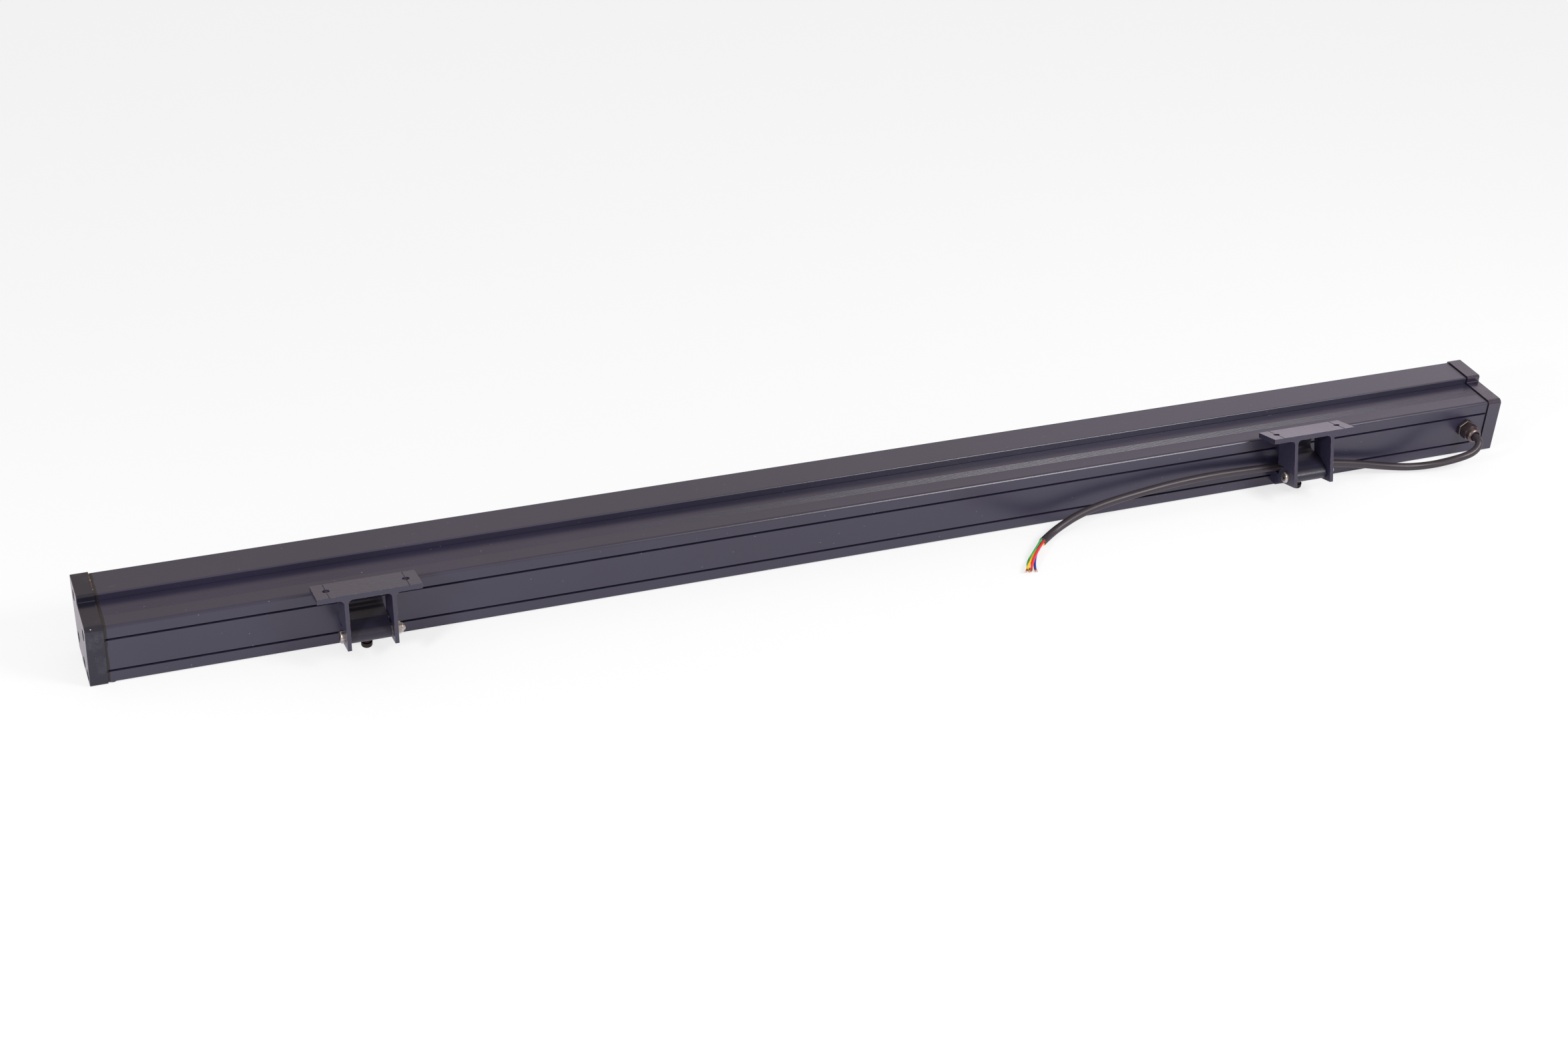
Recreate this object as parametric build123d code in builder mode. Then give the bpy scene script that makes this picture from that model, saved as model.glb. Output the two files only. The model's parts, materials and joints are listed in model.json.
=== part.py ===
from build123d import *
from math import cos, hypot, pi, radians, sin, tan
import os

# Linear outdoor wall washer light, 1 m long, lying on its tail, with two tilting surface brackets.
# +X along the light, +Y towards the side that gives the light, +Z up.
# Millimetres.  The frame's origin is the middle of the object's outline, on the surface it lies on.
# Sections are drawn in (y, z) measured from the slotted panel's face and the housing's underside.

# ---- driving dimensions --------------------------------------------------------------------------
LENGTH = 1000.0          # over both end caps
DEPTH = 52.8             # housing, panel face to visor edge
HEIGHT = 44.1            # housing, underside to top
LEDGE_Z = 39.3           # top of the lower, front part
STEP_Y = 28.6            # where the top box rises from the ledge
CAP_T = 10.7             # end cap, thickness
CAP_LIP = 0.9            # how far the cap stands proud of the housing all round
GASKET_T = 0.8
SLOT_W = 1.5             # hanging slots in the panel
SLOT_D = 3.4
SLOT_HI = 30.2
SLOT_LO = 7.9
WALL = 2.3

PANEL_Y = -10.45         # the panel's face in the frame
FLOOR_Z = 0.9            # the housing's underside, held up by the cap lips

PIVOT = (-22.0, 19.8)    # (y, z) of the bracket hinge in section coordinates
BRACKET_X = (-336.9, 324.8)
TILT = (-8.85, -15.6)    # rest tilt of each bracket, degrees about +X
PLATE_L = 64.0
PLATE_W = 20.2
PLATE_T = 3.35
PLATE_TOP = 31.5         # plate's top above the pivot
PLATE_FRONT = 9.7        # plate's front edge before the pivot
WEB_GAP = 26.5
WEB_T = 2.5
WEB_FOOT = 5.5           # web below the pivot
HOLE_X = 24.25
HOLE_R = 2.25
BOLT_R = 2.0             # M4
KNUCKLE_R = 2.08         # running bore in the adaptor
ADAPTOR_L = 25.0

GLAND_X = 472.5
GLAND_Z = 21.0
ENTRY_R = 4.2            # the gland's thread
GLAND_FRONT = -13.6      # its mouth, before the panel
CORD_D = 5.4
WIRE_D = 1.8
LEDS = 24
LED_PITCH = 40.0

HALF = LENGTH / 2 - CAP_T - GASKET_T      # half length of the aluminium housing
BODY_HALF = HALF + GASKET_T               # inner face of a cap

os.makedirs("parts", exist_ok=True)


def across(x):
    """Section plane at x: sketch X is +Y of the frame, sketch Y is +Z."""
    return Plane(origin=(x, PANEL_Y, FLOOR_Z), x_dir=(0, 1, 0), z_dir=(1, 0, 0))


def space(x, y, z):
    """A point given in section coordinates."""
    return (x, PANEL_Y + y, FLOOR_Z + z)


# ---- the light opening's own axes: s runs up along the sloping face, t out through the glass -----
FOOT = (42.0, 7.0)
SLOPE = (10.8 / hypot(10.8, 31.0), 31.0 / hypot(10.8, 31.0))


def face(s, t):
    return (FOOT[0] + SLOPE[0] * s + SLOPE[1] * t, FOOT[1] + SLOPE[1] * s - SLOPE[0] * t)


def save(part, name):
    part.label = name
    export_step(part, "parts/" + name + ".step")


SCREWS = [(42.1, 37.0), (36.3, 10.6), (8.8, 30.2), (5.2, 3.9), (18.0, 4.5)]

OUTLINE = [(0, 0), (0, LEDGE_Z), (STEP_Y, LEDGE_Z), (STEP_Y, HEIGHT), (DEPTH, HEIGHT), (DEPTH, 38.0), FOOT,
           (38.5, 2.2), (27.5, 2.2), (27.0, 0)]
LEDGE_R = 2.0            # rounding of the housing's long front edge
CAP_CORNERS = {(0, LEDGE_Z): 3.3, (STEP_Y, HEIGHT): 1.6, (DEPTH, HEIGHT): 1.6, (0, 0): 1.2, (STEP_Y, LEDGE_Z): 0.7}
GROOVES = [12.5 + 1.3 * i for i in range(5)]     # five fine lines along the ledge
FOOT_GAP = 0.3           # dark line at the foot of the step

# ---- housing: one extrusion, shelled, with slots, ribs, screw channels and the light opening -------
with BuildPart() as housing:
    with BuildSketch(across(-HALF)) as section:
        with BuildLine():
            Line((0, 0), (0, LEDGE_Z - LEDGE_R))
            RadiusArc((0, LEDGE_Z - LEDGE_R), (LEDGE_R, LEDGE_Z), LEDGE_R)
            Polyline((LEDGE_R, LEDGE_Z), (STEP_Y - FOOT_GAP, LEDGE_Z), (STEP_Y - FOOT_GAP, LEDGE_Z - 0.5),
                     (STEP_Y, LEDGE_Z - 0.5), (STEP_Y, HEIGHT - 0.9))
            RadiusArc((STEP_Y, HEIGHT - 0.9), (STEP_Y + 0.9, HEIGHT), 0.9)
            Polyline((STEP_Y + 0.9, HEIGHT), (DEPTH - 0.6, HEIGHT), (DEPTH, HEIGHT - 0.6), (DEPTH, 38.0), FOOT)
            ThreePointArc(FOOT, (40.9, 4.0), (38.5, 2.2))
            Polyline((38.5, 2.2), (27.5, 2.2), (27.0, 0), (0, 0))
        make_face()
        # driver compartment
        with BuildLine():
            Polyline((WALL, 2.2), (25.0, 2.2), (26.0, 4.4), (35.5, 4.4), (34.6, 8.6), (22.3, 12.9), (21.4, 15.5),
                     (28.4, 36.2), (WALL, 36.2), (WALL, 2.2))
        make_face(mode=Mode.SUBTRACT)
        # lamp chamber, its neck and the glass rebate
        with BuildLine():
            Polyline(face(5.6, -5.5), face(5.6, -8.5), face(3.4, -10.5), face(3.0, -18), face(28.4, -18),
                     face(28.4, -14.5), face(25.4, -12.6), face(25.4, -8.0), face(27.0, -6.5), face(27.0, -5.5),
                     face(29.4, -5.5), face(29.4, 1.0), face(3.2, 1.0), face(3.2, -5.5), face(5.6, -5.5))
        make_face(mode=Mode.SUBTRACT)
        # screw channels and slot backs stand inside the hollow
        with Locations((8.8, 30.2), (5.2, 3.9), (18.0, 4.5)):
            Circle(3.1)
        with Locations((3.9, SLOT_HI), (3.9, SLOT_LO)):
            Rectangle(5.2, 5.4)
        with BuildLine():
            Polyline((20.0, 9.0), (23.6, 9.0), (23.6, 12.9), (21.6, 15.2), (20.0, 14.4), (20.0, 9.0))
        make_face()
        with BuildLine():
            Polyline((20.0, 10.6), (21.6, 10.6), (21.6, 12.2), (20.0, 12.2), (20.0, 10.6))
        make_face(mode=Mode.SUBTRACT)
        with Locations(*SCREWS):
            Circle(1.45, mode=Mode.SUBTRACT)
        with Locations((SLOT_D / 2, SLOT_HI), (SLOT_D / 2, SLOT_LO)):
            Rectangle(SLOT_D, SLOT_W, mode=Mode.SUBTRACT)
        # fine grooves along the ledge
        for gy in GROOVES:
            with BuildLine():
                Polyline((gy - 0.4, LEDGE_Z), (gy, LEDGE_Z - 0.35), (gy + 0.4, LEDGE_Z), (gy - 0.4, LEDGE_Z))
            make_face(mode=Mode.SUBTRACT)
    extrude(amount=2 * HALF)
    # cable entry through the panel
    with BuildSketch(Plane(origin=space(GLAND_X, 0, GLAND_Z), x_dir=(1, 0, 0), z_dir=(0, 1, 0))):
        Circle(ENTRY_R + 0.05)
    extrude(amount=WALL + 0.2, mode=Mode.SUBTRACT)
save(housing.part, "housing")


# ---- end caps: the housing's outline grown by the lip, with round corners and five sunk screw seats -----
def end_cap(side):
    inner = BODY_HALF if side > 0 else -BODY_HALF
    facing = Plane(origin=(inner, PANEL_Y, FLOOR_Z), x_dir=(0, side, 0), z_dir=(side, 0, 0))
    pts = [(side * y, z) for y, z in OUTLINE]
    holes = [(side * y, z) for y, z in SCREWS]
    with BuildPart() as cap:
        with BuildSketch(facing) as profile:
            with BuildLine():
                Polyline(*pts, close=True)
            make_face()
            offset(amount=CAP_LIP, kind=Kind.INTERSECTION)
            for (y, z), radius in CAP_CORNERS.items():
                fillet(profile.vertices().sort_by_distance((side * y, z, 0))[0], radius=radius)
        extrude(amount=CAP_T)
        outer = cap.faces().sort_by(Axis.X)[-1 if side > 0 else 0]
        chamfer(outer.edges(), length=0.3)
        with BuildSketch(facing):
            with Locations(*holes):
                Circle(1.9)
        extrude(amount=CAP_T, mode=Mode.SUBTRACT)
        with BuildSketch(facing.offset(CAP_T - 2.9)):
            with Locations(*holes):
                Circle(3.6)
        extrude(amount=2.9, mode=Mode.SUBTRACT)
        # shallow pocket inside, behind a wall 3 mm thick, as a moulding has
        with BuildSketch(facing):
            with BuildLine():
                Polyline(*[(side * y, z) for y, z in
                           [(12.6, 9.5), (12.6, 34.5), (31.0, 34.5), (31.0, 17.5), (24.0, 9.5)]], close=True)
            make_face()
        extrude(amount=CAP_T - 3.0, mode=Mode.SUBTRACT)
    return cap.part


save(end_cap(-1), "end_cap_left")
save(end_cap(1), "end_cap_right")


# ---- flat rubber gaskets between the housing and each cap ------------------------------------------
def gasket(side):
    start = HALF if side > 0 else -HALF - GASKET_T
    with BuildPart() as sheet:
        with BuildSketch(across(start)) as outline:
            with BuildLine():
                Polyline(*OUTLINE, close=True)
            make_face()
            offset(amount=-0.45, kind=Kind.INTERSECTION)
            for y, z in ((0, LEDGE_Z), (STEP_Y, HEIGHT), (DEPTH, HEIGHT)):
                fillet(outline.vertices().sort_by_distance((y, z, 0))[0], radius=1.6)
            with Locations(*SCREWS):
                Circle(1.9, mode=Mode.SUBTRACT)
        extrude(amount=GASKET_T)
    return sheet.part


save(gasket(-1), "gasket_left")
save(gasket(1), "gasket_right")


# ---- ten cap screws: pan heads with a cross recess, sunk in the caps -------------------------------
def cap_screw(side, y, z):
    seat = side * (BODY_HALF + CAP_T - 2.9)
    out = Plane(origin=space(seat, y, z), x_dir=(0, side, 0), z_dir=(side, 0, 0))
    with BuildPart() as screw:
        with BuildSketch(out):
            Circle(3.1)
        extrude(amount=2.0)
        top = screw.faces().sort_by(Axis.X)[-1 if side > 0 else 0]
        fillet(top.edges(), radius=0.9)
        with BuildSketch(out.offset(0.7)):
            Rectangle(3.6, 0.7)
            Rectangle(0.7, 3.6)
        extrude(amount=1.5, mode=Mode.SUBTRACT)
        with BuildSketch(out):
            Circle(1.4)
        extrude(amount=-(CAP_T - 2.9 + 9.0))
    return screw.part


for side, word in ((-1, "left"), (1, "right")):
    for n, (sy, sz) in enumerate(SCREWS):
        save(cap_screw(side, sy, sz), "cap_screw_%s_%d" % (word, n + 1))


# ---- optics: glass, its silicone seal, lens strip and LED board ------------------------------------
def slab(s0, s1, t0, t1):
    return [face(s0, t0), face(s1, t0), face(s1, t1), face(s0, t1)]


with BuildPart() as front_glass:
    with BuildSketch(across(-HALF + 0.6)):
        with BuildLine():
            Polyline(*slab(3.7, 28.9, -5.5, -1.5), close=True)
        make_face()
    extrude(amount=2 * HALF - 1.2)
save(front_glass.part, "front_glass")

with BuildPart() as glass_seal:
    with BuildSketch(across(-HALF)):
        with BuildLine():
            Polyline(*slab(3.2, 29.4, -5.5, -1.3), close=True)
        make_face()
    extrude(amount=2 * HALF)
    with BuildSketch(across(-HALF + 0.6)):
        with BuildLine():
            Polyline(*slab(3.7, 28.9, -6.0, -1.0), close=True)
        make_face()
    extrude(amount=2 * HALF - 1.2, mode=Mode.SUBTRACT)
save(glass_seal.part, "glass_seal")

BOARD_HALF = 481.0
AXIS_S = 15.4            # the lens line, up the sloping face
led_xs = [LED_PITCH * (i - (LEDS - 1) / 2) for i in range(LEDS)]


def lamp_plane(t):
    """Plane parallel to the glass, at depth t, with its origin on the lens line at mid length."""
    y, z = face(AXIS_S, t)
    return Plane(origin=space(0, y, z), x_dir=(1, 0, 0), z_dir=(0, SLOPE[1], -SLOPE[0]))


with BuildPart() as led_board:
    with BuildSketch(lamp_plane(-18.0)):
        Rectangle(2 * BOARD_HALF, 18.0)
    extrude(amount=1.6)
save(led_board.part, "led_board")

with BuildPart() as led_chips:
    with BuildSketch(lamp_plane(-16.4)):
        Rectangle(2 * BOARD_HALF - 4, 1.2)
        with Locations(*[(x, 0) for x in led_xs]):
            Rectangle(3.4, 3.4)
    extrude(amount=0.15)
    with BuildSketch(lamp_plane(-16.25)):
        with Locations(*[(x, 0) for x in led_xs]):
            Rectangle(3.4, 3.4)
    extrude(amount=0.65)
save(led_chips.part, "led_chips")

with BuildPart(lamp_plane(-13.8)) as lens_strip:
    with Locations(*[(x, 0) for x in led_xs]):
        Cone(4.6, 8.0, 5.2, align=(Align.CENTER, Align.CENTER, Align.MIN))
    with BuildSketch(lamp_plane(-15.2)):
        Rectangle(2 * BOARD_HALF - 2, 17.6)
    extrude(amount=1.4)
    with BuildSketch(lamp_plane(-16.4)):
        with Locations((0, 8.0), (0, -8.0)):
            Rectangle(2 * BOARD_HALF - 2, 1.6)
    extrude(amount=1.2)
save(lens_strip.part, "lens_strip")

# ---- driver: board in its grooves, with a transformer and two capacitors; supply terminal ---------
with BuildPart() as driver_board:
    with BuildSketch(Plane(origin=space(250, 13.4, 10.6), x_dir=(1, 0, 0), z_dir=(0, 0, 1))):
        Rectangle(280, 16.2)
    extrude(amount=1.6)
    with BuildSketch(Plane(origin=space(250, 11.5, 12.2), x_dir=(1, 0, 0), z_dir=(0, 0, 1))):
        with Locations((-110, 0), (-85, 0)):
            Circle(5.0)
    extrude(amount=12.0)
save(driver_board.part, "driver_board")

with BuildPart() as transformer:
    with BuildSketch(Plane(origin=space(240, 12.2, 12.2), x_dir=(1, 0, 0), z_dir=(0, 0, 1))):
        Rectangle(24, 13.0)
    extrude(amount=4.0)
    with BuildSketch(Plane(origin=space(240, 12.2, 16.2), x_dir=(1, 0, 0), z_dir=(0, 0, 1))):
        Rectangle(20, 10.0)
    extrude(amount=8.0)
save(transformer.part, "transformer")

with BuildPart() as terminal_block:
    with BuildSketch(Plane(origin=space(428, 13.0, 13.2), x_dir=(1, 0, 0), z_dir=(0, 0, 1))):
        Rectangle(30, 12.0)
    extrude(amount=11.0)
    with BuildSketch(Plane(origin=space(428, 13.0, 24.2), x_dir=(1, 0, 0), z_dir=(0, 0, 1))):
        with Locations((-11, 0), (-3.7, 0), (3.7, 0), (11, 0)):
            Circle(1.9)
    extrude(amount=-6.0, mode=Mode.SUBTRACT)
    with BuildSketch(Plane(origin=space(428, 13.4, 10.6), x_dir=(1, 0, 0), z_dir=(0, 0, 1))):
        Rectangle(30, 16.2)
    extrude(amount=1.6)
    with BuildSketch(Plane(origin=space(428, 12.0, 12.2), x_dir=(1, 0, 0), z_dir=(0, 0, 1))):
        Rectangle(24, 9.0)
    extrude(amount=1.0)
save(terminal_block.part, "terminal_block")

# ---- cable gland in the panel ------------------------------------------------------------------------
CORD_R = CORD_D / 2
FLANGE_AF = 11.9
NUT_AF = 11.0
DOME_R = 5.3
MOUTH_R = 3.4


def gland_plane(y):
    """Plane square to the gland's axis at section depth y, facing out of the panel (-Y)."""
    return Plane(origin=space(GLAND_X, y, GLAND_Z), x_dir=(1, 0, 0), z_dir=(0, -1, 0))


with BuildPart() as gland_seal:
    with BuildSketch(gland_plane(0)):
        Circle(5.5)
        Circle(ENTRY_R + 0.05, mode=Mode.SUBTRACT)
    extrude(amount=0.8)
save(gland_seal.part, "gland_seal")

with BuildPart() as gland_body:
    with BuildSketch(gland_plane(-0.8)):
        RegularPolygon(FLANGE_AF / 2, 6, major_radius=False, rotation=34)
    extrude(amount=2.0)
    chamfer(gland_body.faces().sort_by(Axis.Y)[0].edges(), length=0.4)
    with BuildSketch(gland_plane(8.6)):
        Circle(ENTRY_R)
    extrude(amount=8.6 + 8.8)
    with BuildSketch(gland_plane(8.6)):
        Circle(CORD_R + 0.1)
    extrude(amount=8.6 + 8.8, mode=Mode.SUBTRACT)
save(gland_body.part, "gland_body")

with BuildPart() as gland_locknut:
    with BuildSketch(gland_plane(6.1)):
        RegularPolygon(6.0, 6, major_radius=False)
        Circle(ENTRY_R + 0.05, mode=Mode.SUBTRACT)
    extrude(amount=6.1 - WALL)
save(gland_locknut.part, "gland_locknut")

with BuildPart() as gland_grommet:
    with BuildSketch(gland_plane(-8.8)):
        Circle(4.0)
        Circle(CORD_R, mode=Mode.SUBTRACT)
    extrude(amount=3.6)
save(gland_grommet.part, "gland_grommet")

with BuildPart() as gland_nut:
    with BuildSketch(Plane(origin=space(GLAND_X, 0, GLAND_Z), x_dir=(0, -1, 0), z_dir=(1, 0, 0))):
        with BuildLine():
            Polyline((12.4, MOUTH_R), (13.1, MOUTH_R))
            RadiusArc((13.1, MOUTH_R), (-GLAND_FRONT, MOUTH_R + 0.5), -0.5)
            RadiusArc((-GLAND_FRONT, MOUTH_R + 0.5), (11.9, DOME_R), -1.9)
            Polyline((11.9, DOME_R), (9.1, DOME_R), (8.8, 6.3), (3.6, 6.3), (3.6, ENTRY_R + 0.05),
                     (8.8, ENTRY_R + 0.05), (8.8, 4.0), (12.4, 4.0), (12.4, MOUTH_R))
        make_face()
    revolve(axis=Axis(space(GLAND_X, 0, GLAND_Z), (0, -1, 0)), revolution_arc=360)
    # six flats on the nut's skirt
    with BuildSketch(gland_plane(-3.6)):
        Circle(8.5)
        RegularPolygon(NUT_AF / 2, 6, major_radius=False, rotation=40, mode=Mode.SUBTRACT)
    extrude(amount=5.5, mode=Mode.SUBTRACT)
save(gland_nut.part, "gland_nut")


# ---- adaptors: hook tongue in the upper slot, arm and round knuckle --------------------------------
def adaptor(cx):
    with BuildPart() as body:
        with BuildSketch(across(cx - ADAPTOR_L / 2)):
            with BuildLine():
                Polyline((0, 37.0), (0, SLOT_HI + 0.7), (3.0, SLOT_HI + 0.7), (3.0, SLOT_HI - 0.7), (0, SLOT_HI - 0.7),
                         (0, 29.0), (-2.0, 27.3), (-4.6, 25.2), (-9.0, 24.4), (-10.4, 23.4), (-16.2, 23.4),
                         (-17.2, 20.6), (-17.6, 17.6), (-19.0, 16.3), (-24.6, 16.3))
                Spline((-24.6, 16.3), (-27.4, 18.2), (-28.2, 20.8), (-27.4, 23.0), (-25.1, 24.7), (-21.5, 26.2),
                       tangents=((-1, 0.1), (1, 0.42)))
                Polyline((-21.5, 26.2), (-17.2, 27.6), (-13.9, 28.2), (-10.6, 28.7))
                Spline((-10.6, 28.7), (-6.4, 29.2), (-4.6, 30.6), (-4.2, 32.6), tangents=((1, 0.1), (0, 1)))
                Polyline((-4.2, 32.6), (-4.2, 36.2), (-3.4, 37.0), (0, 37.0))
            make_face()
        extrude(amount=ADAPTOR_L)
        # hinge bore, and the threaded blind hole of the clamp screw
        with BuildSketch(across(cx - ADAPTOR_L / 2)):
            with Locations(PIVOT):
                Circle(KNUCKLE_R)
        extrude(amount=ADAPTOR_L, mode=Mode.SUBTRACT)
        with BuildSketch(Plane(origin=space(cx, CLAMP_Y, 22.0), x_dir=(1, 0, 0), z_dir=(0, 0, 1))):
            Circle(BOLT_R)
        extrude(amount=4.9, mode=Mode.SUBTRACT)
    return body.part


CLAMP_Y = -13.6
HEAD_TOP = 7.8           # under side of the jaw's seat, where the clamp screw's head ends
COLLAR_TOP = 10.6


# ---- jaws: loose lower claw, toe in the lower slot, pulled up by the clamp screw --------------------
def jaw(cx):
    with BuildPart() as body:
        with BuildSketch(across(cx - ADAPTOR_L / 2)):
            with BuildLine():
                Polyline((0, 4.6), (0, SLOT_LO - 0.7), (3.0, SLOT_LO - 0.7), (3.0, SLOT_LO + 0.7), (0, SLOT_LO + 0.7),
                         (0, 12.2), (-1.4, 13.4), (-16.6, 13.4), (-17.2, 12.8), (-17.2, 11.6), (-6.2, 3.9),
                         (-0.7, 3.9), (0, 4.6))
            make_face()
        extrude(amount=ADAPTOR_L)
        with BuildSketch(Plane(origin=space(cx, CLAMP_Y, 5.0), x_dir=(1, 0, 0), z_dir=(0, 0, 1))):
            Circle(BOLT_R + 0.1)
        extrude(amount=12.0, mode=Mode.SUBTRACT)
        # sunk seats for the screw's head and collar
        with BuildSketch(Plane(origin=space(cx, CLAMP_Y, 3.0), x_dir=(1, 0, 0), z_dir=(0, 0, 1))):
            Circle(3.7)
        extrude(amount=HEAD_TOP - 3.0, mode=Mode.SUBTRACT)
        with BuildSketch(Plane(origin=space(cx, CLAMP_Y, HEAD_TOP), x_dir=(1, 0, 0), z_dir=(0, 0, 1))):
            Circle(2.7)
        extrude(amount=COLLAR_TOP - HEAD_TOP, mode=Mode.SUBTRACT)
    return body.part


def clamp_screw(cx):
    foot = Plane(origin=space(cx, CLAMP_Y, HEAD_TOP - 3.6), x_dir=(1, 0, 0), z_dir=(0, 0, 1))
    with BuildPart() as screw:
        with BuildSketch(foot):
            Circle(3.5)
        extrude(amount=3.6)
        fillet(screw.faces().sort_by(Axis.Z)[0].edges(), radius=1.6)
        with BuildSketch(foot):
            Rectangle(3.8, 0.8)
            Rectangle(0.8, 3.8)
        extrude(amount=1.6, mode=Mode.SUBTRACT)
        with BuildSketch(foot.offset(3.6)):
            Circle(2.6)
        extrude(amount=COLLAR_TOP - HEAD_TOP)
        with BuildSketch(foot.offset(3.6)):
            Circle(BOLT_R)
        extrude(amount=26.6 - HEAD_TOP)
    return screw.part


# ---- tilting brackets: plate, two webs, pivot bolt, nut and washers ---------------------------------
def tilted(cx, tilt, forward=0.0, up=0.0, along=0.0):
    """Plane with its origin at the pivot, sketch X along +X, sketch Y up the bracket, leaning by tilt."""
    c = cos(radians(tilt))
    s = sin(radians(tilt))
    y = PIVOT[0] + forward * c - up * s
    z = PIVOT[1] + forward * s + up * c
    return Plane(origin=space(cx + along, y, z), x_dir=(1, 0, 0), z_dir=(0, -c, -s))


def bracket(cx, tilt):
    front = tilted(cx, tilt, forward=-PLATE_FRONT)
    inner = WEB_GAP / 2
    outer = inner + WEB_T
    under = PLATE_TOP - PLATE_T
    with BuildPart() as body:
        with BuildSketch(front):
            with BuildLine():
                Polyline((-PLATE_L / 2, PLATE_TOP), (-PLATE_L / 2, under), (-outer, under), (-outer, -WEB_FOOT),
                         (-inner, -WEB_FOOT), (-inner, under), (inner, under), (inner, -WEB_FOOT),
                         (outer, -WEB_FOOT), (outer, under), (PLATE_L / 2, under), (PLATE_L / 2, PLATE_TOP),
                         (-PLATE_L / 2, PLATE_TOP))
            make_face()
            roots = [v for v in front_section_corners(body) if abs(v.Y - under) < 0.01 and abs(v.X) < PLATE_L / 2 - 1]
            fillet(roots, radius=2.8)
        extrude(amount=-PLATE_W)
        # the feet's back corners are round
        across_web = Plane(origin=front.origin, x_dir=front.z_dir, z_dir=(1, 0, 0)).offset(-outer)
        with BuildSketch(across_web) as corner:
            with BuildLine():
                Polyline((-PLATE_W, -WEB_FOOT + 8.0), (-PLATE_W - 1, -WEB_FOOT + 8.0), (-PLATE_W - 1, -WEB_FOOT - 1),
                         (-PLATE_W + 8.0, -WEB_FOOT - 1), (-PLATE_W + 8.0, -WEB_FOOT))
                RadiusArc((-PLATE_W + 8.0, -WEB_FOOT), (-PLATE_W, -WEB_FOOT + 8.0), 8.0)
            make_face()
        extrude(amount=2 * outer, mode=Mode.SUBTRACT)
        # bolt holes in the webs
        with BuildSketch(across(cx - outer)):
            with Locations(PIVOT):
                Circle(BOLT_R + 0.1)
        extrude(amount=2 * outer, mode=Mode.SUBTRACT)
        # fixing holes in the plate, each on a scribed centre line
        mid = PLATE_W / 2 - PLATE_FRONT
        top = tilted(cx, tilt, forward=mid, up=PLATE_TOP)
        plate_top = Plane(origin=top.origin, x_dir=(1, 0, 0), z_dir=top.y_dir)
        with BuildSketch(plate_top):
            with Locations((-HOLE_X, 0), (HOLE_X, 0)):
                Circle(HOLE_R)
        extrude(amount=-PLATE_T, mode=Mode.SUBTRACT)
        with BuildSketch(tilted(cx, tilt, forward=-PLATE_FRONT, up=PLATE_TOP)):
            for hx in (-HOLE_X, HOLE_X):
                with BuildLine():
                    Polyline((hx - 0.4, 0), (hx, -0.4), (hx + 0.4, 0), (hx - 0.4, 0))
                make_face()
        extrude(amount=-PLATE_W, mode=Mode.SUBTRACT)
    return body.part


def front_section_corners(body):
    return BuildSketch._get_context().vertices()


def pivot_bolt(cx):
    outer = WEB_GAP / 2 + WEB_T
    head = Plane(origin=space(cx - outer, *PIVOT), x_dir=(0, 1, 0), z_dir=(-1, 0, 0))
    with BuildPart() as bolt:
        with BuildSketch(head):
            Circle(4.0)
        extrude(amount=2.6)
        fillet(bolt.faces().sort_by(Axis.X)[0].edges(), radius=1.3)
        with BuildSketch(head.offset(1.1)):
            Rectangle(4.4, 0.9)
            Rectangle(0.9, 4.4)
        extrude(amount=1.6, mode=Mode.SUBTRACT)
        with BuildSketch(head):
            Circle(BOLT_R)
        extrude(amount=-(2 * outer + 6.0))
        chamfer(bolt.faces().sort_by(Axis.X)[-1].edges(), length=0.4)
    return bolt.part


def pivot_nut(cx):
    outer = WEB_GAP / 2 + WEB_T
    seat = Plane(origin=space(cx + outer, *PIVOT), x_dir=(0, 1, 0), z_dir=(1, 0, 0))
    with BuildPart() as nut:
        with BuildSketch(seat):
            RegularPolygon(3.5, 6, major_radius=False, rotation=10)
        extrude(amount=3.3)
        with BuildSketch(seat.offset(3.3)):
            Circle(3.2)
        extrude(amount=1.5)
        fillet(nut.faces().sort_by(Axis.X)[-1].edges(), radius=0.7)
        with BuildSketch(seat):
            Circle(BOLT_R)
        extrude(amount=5.0, mode=Mode.SUBTRACT)
    return nut.part


def pivot_washer(cx, side):
    start = cx + (ADAPTOR_L / 2 + 0.05 if side > 0 else -WEB_GAP / 2)
    with BuildPart() as washer:
        with BuildSketch(across(start)):
            with Locations(PIVOT):
                Circle(4.2)
                Circle(BOLT_R, mode=Mode.SUBTRACT)
        extrude(amount=WEB_GAP / 2 - ADAPTOR_L / 2 - 0.05)
    return washer.part


for cx, tilt, word in zip(BRACKET_X, TILT, ("left", "right")):
    save(adaptor(cx), "adaptor_" + word)
    save(jaw(cx), "jaw_" + word)
    save(clamp_screw(cx), "clamp_screw_" + word)
    save(bracket(cx, tilt), "bracket_" + word)
    save(pivot_bolt(cx), "pivot_bolt_" + word)
    save(pivot_nut(cx), "pivot_nut_" + word)
    save(pivot_washer(cx, -1), "pivot_washer_%s_a" % word)
    save(pivot_washer(cx, 1), "pivot_washer_%s_b" % word)


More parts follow.
